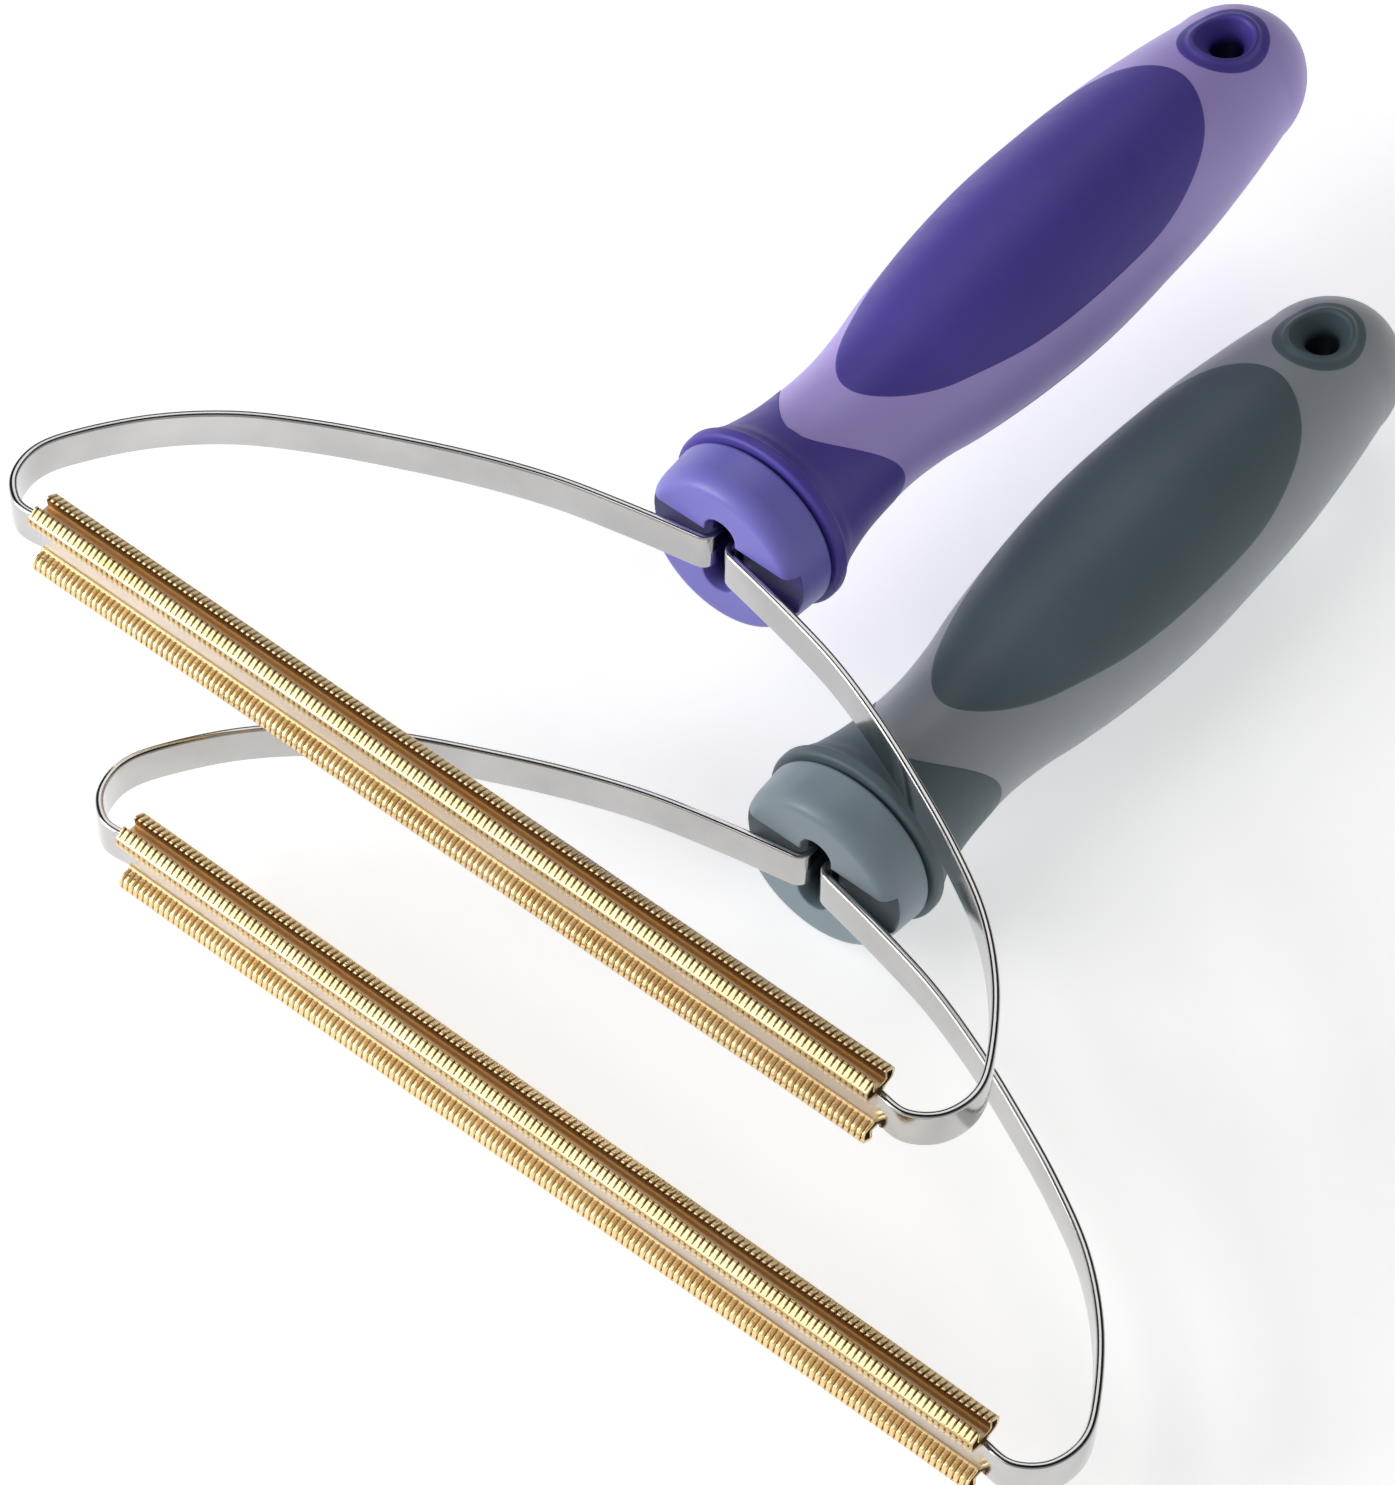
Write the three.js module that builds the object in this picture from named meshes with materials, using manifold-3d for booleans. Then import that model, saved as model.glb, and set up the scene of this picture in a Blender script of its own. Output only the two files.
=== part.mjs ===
// A pair of double-sided hair scrapers, one grey and one purple, the purple one lying on the grey one.
// Each tool: a soft-grip handle along Y, a slotted plug at its front, a spring-steel band that bows
// out of the plug and runs across the front as a bar, and two folded brass blades on the bar.
// Millimetres, +Z up. Within a tool, X runs along the bar, Y from the bar to the butt of the handle.

import * as THREE from 'three';
import { mergeVertices } from 'three/addons/utils/BufferGeometryUtils.js';
import Module from 'manifold-3d';

const wasm = await Module();
wasm.setup();

// Driving dimensions
const BAR_LENGTH = 165;
const BAND_WIDTH = 7.4;
const BAND_THICKNESS = 1.3;
const BLADE_SHEET = 0.45;
const HOLD = 0.3;                     // gap left between pieces that bear on each other
const CLEAR = 2;                      // how far a cutting solid starts outside what it cuts
const OUTSIDE = 24;                   // further from the tool's axis than any handle or plug surface
const SEGMENTS = 32;                  // steps round a turned piece

const PLUG_FRONT = 63.9;
const PLUG_RADIUS = 15.2;
const PLUG_EDGE = 1.9;
const PLUG_BACK = 72.9;
const GROOVE_DEPTH = 2.3;
const GROOVE_HEIGHT = 8.6;
const SLOT_WIDTH = 6;
const SLOT_HEIGHT = 16.2;
const SLOT_DEPTH = 9;
const SPIGOT_RADIUS = 8.4;
const SPIGOT_END = 95;

const FLANGE_FRONT = 73.4;
const FLANGE_RADIUS = 16.5;
const FLANGE_BACK = 75.8;
const COLLAR_BORE = 10.8;
const COLLAR_TOP_END = 82;            // where the collar ends over the top and the underside
const COLLAR_SIDE_END = 95;           // where it ends at the two sides
const NECK_RADIUS = 13.75;            // the neck's radius where the collar ends at the top
const BUTT_START = 197;
const BUTT_END = 211;
const BUTT_ROUNDNESS = 1.9;
const BUTT_RADIUS = 12.6;

const PAD_THICKNESS = 2.2;
const PAD_MIDDLE = 138;
const PAD_HALF_WIDTH = 15.6;
const PAD_HALF_LENGTH = 43;
const HANG_HOLE_Y = 193.5;
const GROMMET_HALF_WIDTH = 7;
const GROMMET_STRETCH = 1.3;          // the grommet is this much longer along Y than across
const GROMMET_RIM = 1.3;
const THROAT_HALF_WIDTH = 2.7;

const TAIL_X = 1.75;                  // centre of each band end inside the plug
const TAIL_END = 84;
const BEND_RADIUS = 1.7;
const BEND_ANGLE = 1.3;
const WEDGE_FRONT = 72;
const PIN_RADIUS = 1.2;
const PIN_HALF_LENGTH = 7.8;
const PIN_Y = 79.5;

// Where the purple tool lies on the grey one
const STACK = new THREE.Vector3(-40.7, 25.8, 20.6);

// Radius of the collar's and handle's outer surface at points along Y
const NECK_AND_GRIP = [
  [FLANGE_BACK, 15.7], [80, 14.2], [87.5, 12.8], [98, 12.3], [107, 13.1], [116, 14.7],
  [130, 16.4], [144, 17.2], [158, 16.9], [172, 16.1], [186, 14.4], [BUTT_START, BUTT_RADIUS],
];

// Half of the grip pad's outline seen from above, from its front point to its rear point
const PAD_OUTLINE = [[0, 95], [5.2, 98.6], [10.1, 108.6], [14.2, 125.6], [15.6, 145], [14.4, 163],
  [9.4, 175.8], [0, 181]];

// Centre line of the band's right half, from where it leaves the plug to where it meets the bar
const BOW = [[3.9, 62.9], [15.6, 60.5], [28, 57.4], [40.2, 52.9], [52, 47.5], [63.5, 41.6],
  [74.4, 34.7], [83.5, 26], [90.6, 15.8], [93.2, 9.2], [91.9, 3.2], [87.6, -0.3], [82.5, 0]];

// Centre line of half of the upper blade's folded sheet, from the middle of its trough down to the
// end of the leg that grips the band: distance from the band's middle plane, height above its edge
const BLADE_FOLDS = [[0, 1.4], [1.4, 1.4], [1.2, 3.35], [1.45, 3.48], [2.95, 2.6], [3.1, 2.25],
  [3.1, 1.1], [2.8, 0.55], [2.1, 0.25], [1.05, 0.05], [1.05, -0.7]];

const COLOURS = {
  purple: { core: 0xa39bce, soft: 0x4a4191, plug: 0x8b87cf },
  grey: { core: 0x9297a3, soft: 0x4f575e, plug: 0x8496a0 },
};

const STEEL = { color: 0xd0cfcd, roughness: 0.15, metalness: 1 };
const BRASS = { color: 0xc99a52, roughness: 0.3, metalness: 1 };
const HARD = { roughness: 0.45, metalness: 0 };
const SOFT = { roughness: 0.55, metalness: 0 };

// A closed manifold solid from a three.js geometry
function solidOf(geometry) {
  const bare = geometry.clone();
  bare.deleteAttribute('normal');
  bare.deleteAttribute('uv');
  const merged = mergeVertices(bare, 1e-4);
  const kept = [];
  const index = merged.index.array;
  for (let i = 0; i < index.length; i += 3) {
    const [a, b, c] = [index[i], index[i + 1], index[i + 2]];
    if (a !== b && b !== c && a !== c) kept.push(a, b, c);
  }
  return new wasm.Manifold(new wasm.Mesh({
    numProp: 3,
    vertProperties: new Float32Array(merged.attributes.position.array),
    triVerts: new Uint32Array(kept),
  }));
}

function namedMesh(name, solid, material) {
  const result = solid.getMesh();
  const geometry = new THREE.BufferGeometry();
  geometry.setAttribute('position', new THREE.BufferAttribute(result.vertProperties, 3));
  geometry.setIndex(new THREE.BufferAttribute(result.triVerts, 1));
  geometry.computeVertexNormals();
  const mesh = new THREE.Mesh(geometry, material);
  mesh.name = name;
  return mesh;
}

const vectors = (pairs) => pairs.map(([a, b]) => new THREE.Vector2(a, b));

// A solid of revolution about Y; the profile is a list of [radius, y] with rising y
const turned = (profile, segments = SEGMENTS) => solidOf(new THREE.LatheGeometry(vectors(profile), segments));
const rod = (radius, from, to, segments = SEGMENTS) =>
  turned([[0, from], [radius, from], [radius, to], [0, to]], segments);

// A flat outline in X and Y, raised from one height to another
function raised(shape, from, to, curveSegments = 12) {
  const options = { depth: to - from, bevelEnabled: false, curveSegments };
  return solidOf(new THREE.ExtrudeGeometry(shape, options).translate(0, 0, from));
}

// An outline in Y and Z, drawn along X about the middle of the tool
function drawnAlongX(shape, length, curveSegments = 12) {
  const options = { depth: length, bevelEnabled: false, curveSegments };
  const toYZ = new THREE.Matrix4().makeBasis(
    new THREE.Vector3(0, 1, 0), new THREE.Vector3(0, 0, 1), new THREE.Vector3(1, 0, 0));
  const geometry = new THREE.ExtrudeGeometry(shape, options).translate(0, 0, -length / 2);
  return solidOf(geometry.applyMatrix4(toYZ));
}

function block(low, high) {
  const size = high.map((value, axis) => value - low[axis]);
  const middle = high.map((value, axis) => (value + low[axis]) / 2);
  return solidOf(new THREE.BoxGeometry(...size).translate(...middle));
}

// The closed outline of a strip of even thickness along a line of points
function stripOutline(points, thickness) {
  const left = [];
  const right = [];
  points.forEach((point, i) => {
    const before = points[Math.max(i - 1, 0)];
    const after = points[Math.min(i + 1, points.length - 1)];
    const arriving = point.clone().sub(before).normalize();
    const leaving = after.clone().sub(point).normalize();
    const along = arriving.clone().add(leaving).normalize();
    const bend = i > 0 && i < points.length - 1 ? along.dot(leaving) : 1;
    const side = new THREE.Vector2(-along.y, along.x).multiplyScalar(thickness / 2 / bend);
    left.push(point.clone().add(side));
    right.push(point.clone().sub(side));
  });
  return new THREE.Shape([...right, ...left.reverse()]);
}

// Outer surface of neck, grip and butt, grown or shrunk by an offset
function handleProfile(offset) {
  const spline = new THREE.SplineCurve(vectors(NECK_AND_GRIP.map(([y, radius]) => [radius, y])));
  const profile = [[0, FLANGE_FRONT], [FLANGE_RADIUS - 0.7 + offset, FLANGE_FRONT],
    [FLANGE_RADIUS + offset, FLANGE_FRONT + 0.7], [FLANGE_RADIUS + offset, FLANGE_BACK - 0.7]];
  for (const point of spline.getPoints(16)) profile.push([point.x + offset, point.y]);
  const buttSteps = 5;
  for (let i = 1; i < buttSteps; i += 1) {
    const along = Math.sin((i / buttSteps) * Math.PI / 2);
    const radius = BUTT_RADIUS * (1 - along ** BUTT_ROUNDNESS) ** (1 / BUTT_ROUNDNESS);
    profile.push([radius + offset, BUTT_START + along * (BUTT_END - BUTT_START)]);
  }
  profile.push([0, BUTT_END + offset]);
  return profile;
}

// The space in front of the collar's curved rear edge, which runs further back at the sides
function collarZone(gap) {
  const shape = new THREE.Shape();
  const sag = COLLAR_SIDE_END - COLLAR_TOP_END;
  const edge = (z) => COLLAR_SIDE_END + gap - sag * (z / NECK_RADIUS) ** 2;
  const front = FLANGE_FRONT - CLEAR;
  const steps = 10;
  shape.moveTo(front, -OUTSIDE);
  for (let i = 0; i <= steps; i += 1) {
    const z = NECK_RADIUS * ((2 * i) / steps - 1);
    shape.lineTo(edge(z), z);
  }
  shape.lineTo(edge(NECK_RADIUS), OUTSIDE);
  shape.lineTo(front, OUTSIDE);
  return drawnAlongX(shape, 2 * OUTSIDE);
}

// The oval column that a grip pad is cut out of, above the handle's axis or below it
function padColumn(grow, side) {
  const tips = [PAD_OUTLINE[1], PAD_OUTLINE.at(-2)].map(([x, y]) => [-x, y]);
  const steps = 2;
  const through = new THREE.SplineCurve(vectors([tips[0], ...PAD_OUTLINE, tips[1]]));
  const right = through.getPoints(steps * (PAD_OUTLINE.length + 1)).slice(steps, -steps);
  const outline = right.concat(right.slice(1, -1).reverse().map((p) => new THREE.Vector2(-p.x, p.y)));
  const grown = outline.map((p) => {
    const out = new THREE.Vector2(p.x / PAD_HALF_WIDTH, (p.y - PAD_MIDDLE) / PAD_HALF_LENGTH).normalize();
    return p.clone().addScaledVector(out, grow);
  });
  const [from, to] = side > 0 ? [CLEAR, OUTSIDE] : [-OUTSIDE, -CLEAR];
  return raised(new THREE.Shape(grown), from, to);
}

function ovalColumn(halfWidth) {
  const shape = new THREE.Shape();
  shape.absellipse(0, HANG_HOLE_Y, halfWidth, halfWidth * GROMMET_STRETCH, 0, Math.PI * 2);
  return raised(shape, -OUTSIDE, OUTSIDE, 10);
}

// The funnel cut into each end of the grommet, and the throat that joins them
function hangHoleCut() {
  const mouth = GROMMET_HALF_WIDTH - GROMMET_RIM;
  const wide = mouth + 2;
  const profile = [[0, -18], [wide, -18], [mouth, -12], [THROAT_HALF_WIDTH, -5],
    [THROAT_HALF_WIDTH, 5], [mouth, 12], [wide, 18], [0, 18]];
  const geometry = new THREE.LatheGeometry(vectors(profile), 20);
  geometry.rotateX(Math.PI / 2).scale(1, GROMMET_STRETCH, 1).translate(0, HANG_HOLE_Y, 0);
  return solidOf(geometry);
}

function plugSolid() {
  const body = turned([[0, PLUG_FRONT], [PLUG_RADIUS - PLUG_EDGE, PLUG_FRONT],
    [PLUG_RADIUS - PLUG_EDGE * 0.45, PLUG_FRONT + PLUG_EDGE * 0.2],
    [PLUG_RADIUS - PLUG_EDGE * 0.1, PLUG_FRONT + PLUG_EDGE * 0.75],
    [PLUG_RADIUS, PLUG_FRONT + PLUG_EDGE * 1.5], [PLUG_RADIUS + 0.3, PLUG_BACK - 0.5],
    [PLUG_RADIUS, PLUG_BACK], [0, PLUG_BACK]]);
  const spigot = rod(SPIGOT_RADIUS, PLUG_BACK - 1, SPIGOT_END);
  const halfGroove = GROOVE_HEIGHT / 2;
  const outFront = PLUG_FRONT - CLEAR;
  const groove = block([-OUTSIDE, outFront, -halfGroove], [OUTSIDE, PLUG_FRONT + GROOVE_DEPTH, halfGroove]);
  const slotBottom = PLUG_FRONT + SLOT_DEPTH;
  const slot = drawnSlot(SLOT_WIDTH / 2, SLOT_HEIGHT / 2, outFront, slotBottom);
  const tailRoom = TAIL_X + BAND_THICKNESS / 2 + HOLD;
  const bandRoom = BAND_WIDTH / 2 + HOLD;
  const tails = block([-tailRoom, slotBottom - 1, -bandRoom], [tailRoom, TAIL_END + HOLD, bandRoom]);
  return body.add(spigot)
    .subtract(groove)
    .subtract(slot)
    .subtract(tails)
    .subtract(pinRod(PIN_RADIUS + HOLD, OUTSIDE));
}

// An upright slot with round ends, cut along Y
function drawnSlot(halfWidth, halfHeight, from, to) {
  const shape = new THREE.Shape();
  const straight = halfHeight - halfWidth;
  shape.moveTo(halfWidth, -straight);
  shape.lineTo(halfWidth, straight);
  shape.absarc(0, straight, halfWidth, 0, Math.PI);
  shape.lineTo(-halfWidth, -straight);
  shape.absarc(0, -straight, halfWidth, Math.PI, Math.PI * 2);
  const options = { depth: to - from, bevelEnabled: false, curveSegments: 8 };
  const geometry = new THREE.ExtrudeGeometry(shape, options);
  return solidOf(geometry.rotateX(Math.PI / 2).translate(0, to, 0));
}

function pinRod(radius, halfLength) {
  const geometry = new THREE.CylinderGeometry(radius, radius, 2 * halfLength, 16);
  return solidOf(geometry.rotateZ(Math.PI / 2).translate(0, PIN_Y, 0));
}

// The band's whole centre line: left tail, left bow, bar, right bow, right tail
function bandLine() {
  const half = [new THREE.Vector2(TAIL_X, TAIL_END)];
  const bendSteps = 4;
  const bendY = BOW[0][1] + BEND_RADIUS + 0.1;
  for (let i = 0; i <= bendSteps; i += 1) {
    const angle = (i / bendSteps) * BEND_ANGLE;
    const x = TAIL_X + BEND_RADIUS * (1 - Math.cos(angle));
    half.push(new THREE.Vector2(x, bendY - BEND_RADIUS * Math.sin(angle)));
  }
  half.push(...new THREE.SplineCurve(vectors(BOW)).getPoints(34));
  const mirrored = half.map((p) => new THREE.Vector2(-p.x, p.y));
  return mirrored.concat(half.reverse());
}

function bandSolid() {
  const strip = raised(stripOutline(bandLine(), BAND_THICKNESS), -BAND_WIDTH / 2, BAND_WIDTH / 2);
  return strip.subtract(pinRod(PIN_RADIUS + HOLD, OUTSIDE));
}

// side is 1 for the blade on the band's upper edge and -1 for the one on its lower edge
function bladeSolid(side) {
  const rear = BLADE_FOLDS.map(([y, height]) => new THREE.Vector2(y, side * (BAND_WIDTH / 2 + height)));
  const front = rear.slice(1).map((p) => new THREE.Vector2(-p.x, p.y));
  const line = rear.reverse().concat(front);
  return drawnAlongX(stripOutline(side > 0 ? line : line.reverse(), BLADE_SHEET), BAR_LENGTH);
}

// The hard body, with room for the collar, the pads, the grommet and the plug's spigot
function coreSolid(skin) {
  const padBed = turned(handleProfile(-PAD_THICKNESS - HOLD));
  const lining = rod(COLLAR_BORE - HOLD, FLANGE_FRONT + HOLD, COLLAR_SIDE_END + CLEAR);
  const spigotBore = rod(SPIGOT_RADIUS + HOLD, FLANGE_FRONT - 1, SPIGOT_END + 1);
  return skin.subtract(collarZone(HOLD))
    .add(lining)
    .subtract(spigotBore)
    .subtract(ovalColumn(GROMMET_HALF_WIDTH + HOLD))
    .subtract(padColumn(HOLD, 1).subtract(padBed))
    .subtract(padColumn(HOLD, -1).subtract(padBed));
}

function buildTool(prefix, colours) {
  const tool = new THREE.Group();
  const add = (name, solid, look) => {
    const material = new THREE.MeshStandardMaterial(look);
    tool.add(namedMesh(`${prefix}_${name}`, solid, material));
  };
  const soft = { ...SOFT, color: colours.soft };

  const skin = turned(handleProfile(0));
  const inside = turned(handleProfile(-PAD_THICKNESS));
  const collarBore = rod(COLLAR_BORE, FLANGE_FRONT - 1, BUTT_END);
  const grommet = skin.intersect(ovalColumn(GROMMET_HALF_WIDTH)).subtract(hangHoleCut());

  add('handle_core', coreSolid(skin), { ...HARD, color: colours.core });
  add('neck_collar', skin.intersect(collarZone(0)).subtract(collarBore), soft);
  add('upper_grip_pad', skin.intersect(padColumn(0, 1)).subtract(inside), soft);
  add('lower_grip_pad', skin.intersect(padColumn(0, -1)).subtract(inside), soft);
  add('hang_hole_grommet', grommet, soft);
  add('head_plug', plugSolid(), { ...HARD, color: colours.plug });

  const wedgeHalf = TAIL_X - BAND_THICKNESS / 2 - HOLD;
  const halfBand = BAND_WIDTH / 2;
  const wedge = block([-wedgeHalf, WEDGE_FRONT, -halfBand], [wedgeHalf, TAIL_END, halfBand])
    .subtract(pinRod(PIN_RADIUS + HOLD, OUTSIDE));
  add('spring_band', bandSolid(), STEEL);
  add('tail_wedge', wedge, soft);
  add('clamp_pin', pinRod(PIN_RADIUS, PIN_HALF_LENGTH), STEEL);
  add('upper_blade', bladeSolid(1), BRASS);
  add('lower_blade', bladeSolid(-1), BRASS);
  return tool;
}

const grey = buildTool('grey', COLOURS.grey);
const purple = buildTool('purple', COLOURS.purple);
purple.position.copy(STACK);

const scrapers = new THREE.Group();
scrapers.add(grey, purple);

// The origin is under the middle of the pair, on the surface that the grey tool lies on
const bounds = new THREE.Box3().setFromObject(scrapers);
const middle = bounds.getCenter(new THREE.Vector3());
scrapers.position.set(-middle.x, -middle.y, -bounds.min.z);

export default scrapers;
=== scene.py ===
import math

import bpy
import numpy as np
from mathutils import Matrix, Vector


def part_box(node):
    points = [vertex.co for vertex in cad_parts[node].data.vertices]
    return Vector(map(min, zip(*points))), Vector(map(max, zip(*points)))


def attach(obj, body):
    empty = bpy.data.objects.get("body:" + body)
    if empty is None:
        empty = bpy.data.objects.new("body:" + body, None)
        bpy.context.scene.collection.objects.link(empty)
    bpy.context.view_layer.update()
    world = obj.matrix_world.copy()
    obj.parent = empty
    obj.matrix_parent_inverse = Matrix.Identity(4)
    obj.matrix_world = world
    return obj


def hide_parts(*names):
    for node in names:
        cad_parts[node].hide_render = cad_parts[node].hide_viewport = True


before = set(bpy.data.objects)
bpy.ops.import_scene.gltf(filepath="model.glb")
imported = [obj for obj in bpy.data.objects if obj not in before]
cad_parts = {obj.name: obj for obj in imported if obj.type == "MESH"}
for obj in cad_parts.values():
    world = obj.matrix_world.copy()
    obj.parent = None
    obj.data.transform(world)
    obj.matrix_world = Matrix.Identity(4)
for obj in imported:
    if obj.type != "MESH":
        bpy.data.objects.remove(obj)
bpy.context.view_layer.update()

# A pair of double-sided hair scrapers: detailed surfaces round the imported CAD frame.
# Shapes are worked out in millimetres about each tool's own origin, which lies on the handle's
# axis at the line of the bar, and are then placed from the box of its CAD plug. Metres in the scene.

MM = 0.001
TOOLS = ("purple", "grey")
ON_AXIS = 0.01

# Handle: outer radius at points along Y, from the flange's back to the butt
NECK_AND_GRIP = [
    (75.8, 15.7), (80, 14.2), (87.5, 12.8), (98, 12.3), (107, 13.1), (116, 14.7),
    (130, 16.4), (144, 17.2), (158, 16.9), (172, 16.1), (186, 14.4), (197, 12.6),
]
BUTT_START = 197.0
BUTT_END = 211.0
BUTT_RADIUS = 12.6
BUTT_ROUNDNESS = 1.9
CORE_FRONT = 73.7
CORE_TUBE_RADIUS = 10.5
BORE_RADIUS = 8.7
BORE_END = 96.0
COLLAR_TOP_END = 82.0
COLLAR_SIDE_END = 95.0
NECK_RADIUS = 13.75
FLANGE_FRONT = 73.4
FLANGE_RADIUS = 16.5
COLLAR_BORE = 10.8
PAD_OUTLINE = [
    (0, 95), (5.2, 98.6), (10.1, 108.6), (14.2, 125.6), (15.6, 145), (14.4, 163),
    (9.4, 175.8), (0, 181),
]
PAD_MIDDLE = 138.0
PAD_HEIGHT = 0.12
HANG_HOLE_Y = 193.5
HANG_HOLE_OPENING = 6.2
GROMMET_STRETCH = 1.3
GROMMET_MOUTH = 4.45
GROMMET_THROAT = 2.6
GROMMET_THROAT_SHIFT = 1.4
GROMMET_THROAT_HEIGHT = 5.5
GROMMET_RIM = [
    (7.0, -0.5), (7.0, 0.02), (6.96, 0.08), (6.87, 0.12), (6.7, 0.14), (6.3, 0.14), (5.9, 0.15),
    (5.72, 0.19), (5.58, 0.28), (5.42, 0.42), (5.22, 0.52), (5.0, 0.55), (4.8, 0.5), (4.62, 0.36),
    (4.48, 0.12), (4.38, -0.2),
]

# Plug
PLUG_FRONT = 63.9
PLUG_BACK = 72.9
PLUG_RADIUS = 15.2
PLUG_EDGE = 2.4
PLUG_EDGE_LENGTH = 4.4
GROOVE_DEPTH = 2.3
GROOVE_HEIGHT = 8.6
SLOT_WIDTH = 6.0
SLOT_HEIGHT = 16.2
SLOT_DEPTH = 8.9
SPIGOT_RADIUS = 8.4
SPIGOT_END = 95.0
PIN_Y = 79.5
PIN_HOLE_RADIUS = 1.5
PLUG_VOXEL = 0.16

# Band and blades
BAND_WIDTH = 7.4
BAND_THICKNESS = 1.3
BAR_LENGTH = 165.0
TAIL_X = 1.75
TAIL_END = 84.0
BEND_RADIUS = 1.7
BEND_ANGLE = 1.3
BAND_STEP = 0.25
BOW = [
    (3.9, 62.9), (15.6, 60.5), (28, 57.4), (40.2, 52.9), (52, 47.5), (63.5, 41.6),
    (74.4, 34.7), (83.5, 26), (90.6, 15.8), (93.2, 9.2), (91.9, 3.2), (87.6, -0.3), (82.5, 0),
]
BLADE_SHEET = 0.45
SHEET_STEP = 0.02
TEETH = 154
POINTS_PER_TOOTH = 12
CREST_CUT = 0.38
WALL_RIB = 0.24
WALL_CUT = 0.18
BLADE_FOLDS = [
    (0, 1.4), (1.4, 1.4), (1.2, 3.35), (1.45, 3.48), (2.95, 2.6), (3.1, 2.25),
    (3.1, 1.1), (2.8, 0.55), (2.1, 0.25), (0.92, 0.05), (0.92, -0.7),
]


# ---------------------------------------------------------------- curves and meshes

def spline(points, steps):
    """Points along a Catmull-Rom curve through the given points."""
    p = np.array(points, float)
    p = np.vstack([p[:1], p, p[-1:]])
    t = np.linspace(0, 1, steps, endpoint=False)[:, None]
    parts = []
    for a, b, c, d in zip(p[:-3], p[1:-2], p[2:-1], p[3:]):
        leave, arrive = (c - a) / 2, (d - b) / 2
        cubic = 2 * b - 2 * c + leave + arrive
        square = -3 * b + 3 * c - 2 * leave - arrive
        parts.append(cubic * t**3 + square * t**2 + leave * t + b)
    return np.vstack(parts + [p[-1:]])


HANDLE_LINE = spline(NECK_AND_GRIP, 40)


def handle_radius(y):
    """Outer radius of the neck, grip and butt at y."""
    y = np.asarray(y, float)
    along = np.clip((y - BUTT_START) / (BUTT_END - BUTT_START), 0, 1)
    butt = BUTT_RADIUS * (1 - along**BUTT_ROUNDNESS) ** (1 / BUTT_ROUNDNESS)
    return np.where(y > BUTT_START, butt, np.interp(y, HANDLE_LINE[:, 0], HANDLE_LINE[:, 1]))


def smooth_step(low, high, x):
    """0 below low, 1 above high and an S-shaped rise between them."""
    t = np.clip((x - low) / (high - low), 0, 1)
    return t * t * (3 - 2 * t)


def points_along(line, step=None, count=None):
    """Evenly spaced points on a line in the plane: by step from its start, or count of them."""
    spacing = np.linalg.norm(np.diff(line, axis=0), axis=1)
    length = np.concatenate([[0], np.cumsum(spacing)])
    at = np.arange(0, length[-1], step) if step else np.linspace(0, length[-1], count, endpoint=False)
    return np.stack([np.interp(at, length, line[:, k]) for k in (0, 1)], -1)


def smoothed(line, reach, spread):
    """The line averaged with a bell curve over `reach` points each way, so that corners are round."""
    weights = np.exp(-0.5 * (np.arange(-reach, reach + 1) / spread) ** 2)
    weights /= weights.sum()
    padded = np.vstack([np.repeat(line[:1], reach, 0), line, np.repeat(line[-1:], reach, 0)])
    return np.stack([np.convolve(padded[:, k], weights, "valid") for k in (0, 1)], -1)


def directions(line):
    """Unit directions along a line of points."""
    along = np.gradient(line, axis=0)
    return along / np.linalg.norm(along, axis=1)[:, None]


def turning(along):
    """How much a line turns between each direction and the next."""
    return np.abs(along[:-1, 0] * along[1:, 1] - along[:-1, 1] * along[1:, 0])


def place(name, mesh, body, material, node):
    """Put a finished mesh in the scene, riding on a body and standing for its CAD node."""
    mesh.materials.append(material)
    piece = bpy.data.objects.new(name, mesh)
    bpy.context.scene.collection.objects.link(piece)
    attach(piece, body)
    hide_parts(node)
    return piece


def grid_faces(rows, columns, wrap_rows, wrap_columns):
    """Corner numbers of the four-sided faces of a rows by columns grid of points."""
    r = np.arange(rows if wrap_rows else rows - 1)
    c = np.arange(columns if wrap_columns else columns - 1)
    r, c = np.meshgrid(r, c, indexing="ij")
    r2, c2 = (r + 1) % rows, (c + 1) % columns
    corners = [r * columns + c, r2 * columns + c, r2 * columns + c2, r * columns + c2]
    return np.stack(corners, -1).reshape(-1, 4)


def facing_out(points, faces):
    """The same faces, turned so that they look away from the tool's axis or out of the solid."""
    corners = points[faces]
    normal = np.cross(corners[:, 2] - corners[:, 0], corners[:, 3] - corners[:, 1])
    middle = corners.mean(1)
    outward = (normal[:, [0, 2]] * middle[:, [0, 2]]).sum()
    return faces if outward > 0 else faces[:, ::-1]


def mesh_of(name, points, faces):
    """A smooth-shaded mesh of four-sided faces."""
    mesh = bpy.data.meshes.new(name)
    points = np.ascontiguousarray(points, float)
    faces = np.ascontiguousarray(faces, np.int32)
    mesh.vertices.add(len(points))
    mesh.vertices.foreach_set("co", points.ravel())
    mesh.loops.add(faces.size)
    mesh.loops.foreach_set("vertex_index", faces.ravel())
    mesh.polygons.add(len(faces))
    mesh.polygons.foreach_set("loop_start", np.arange(0, faces.size, 4, dtype=np.int32))
    mesh.polygons.foreach_set("use_smooth", np.ones(len(faces), bool))
    mesh.update(calc_edges=True)
    mesh.validate()
    return mesh


def add_attribute(mesh, name, values):
    """Give each point of a mesh a number that its material reads."""
    attribute = mesh.attributes.new(name, "FLOAT", "POINT")
    attribute.data.foreach_set("value", np.ascontiguousarray(values, np.float32))


def turned(profile, steps=192):
    """Grid of points made by turning a (radius, y) profile about Y: one row per profile point."""
    angle = np.linspace(0, 2 * np.pi, steps, endpoint=False)
    radius, y = np.array(profile, float).T
    x = radius[:, None] * np.cos(angle)
    z = radius[:, None] * np.sin(angle)
    return np.stack([x, np.repeat(y[:, None], steps, 1), z], -1)


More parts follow.
